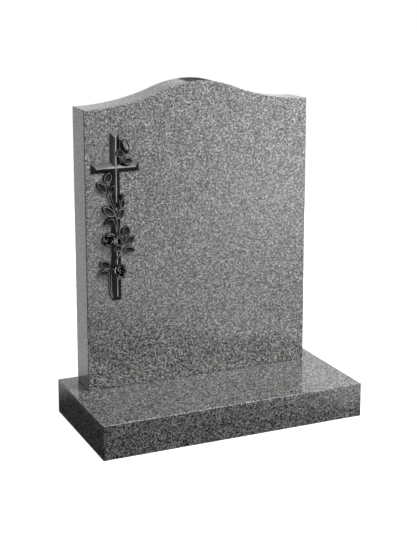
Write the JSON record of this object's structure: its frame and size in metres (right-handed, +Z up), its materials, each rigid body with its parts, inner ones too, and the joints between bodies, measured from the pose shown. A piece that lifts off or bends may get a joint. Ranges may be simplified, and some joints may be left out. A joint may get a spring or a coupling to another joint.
{
  "type": "ogee headstone",
  "caption": "Polished granite headstone with an ogee top on a flat granite base, with a cast cross entwined with a climbing rose on its face.",
  "frame": {"origin": "middle of the base's underside", "axes": "+Z up, X across the face, the face looks along -Y"},
  "size_m": [0.61, 0.305, 0.7473],
  "materials": {
    "granite": "polished, fine black, grey and white speckle",
    "cast_bronze": "near-black patina, semi-gloss"
  },
  "bodies": {
    "root": {"base": "granite", "headstone": "granite", "rose_cross": "cast_bronze"}
  },
  "joints": []
}
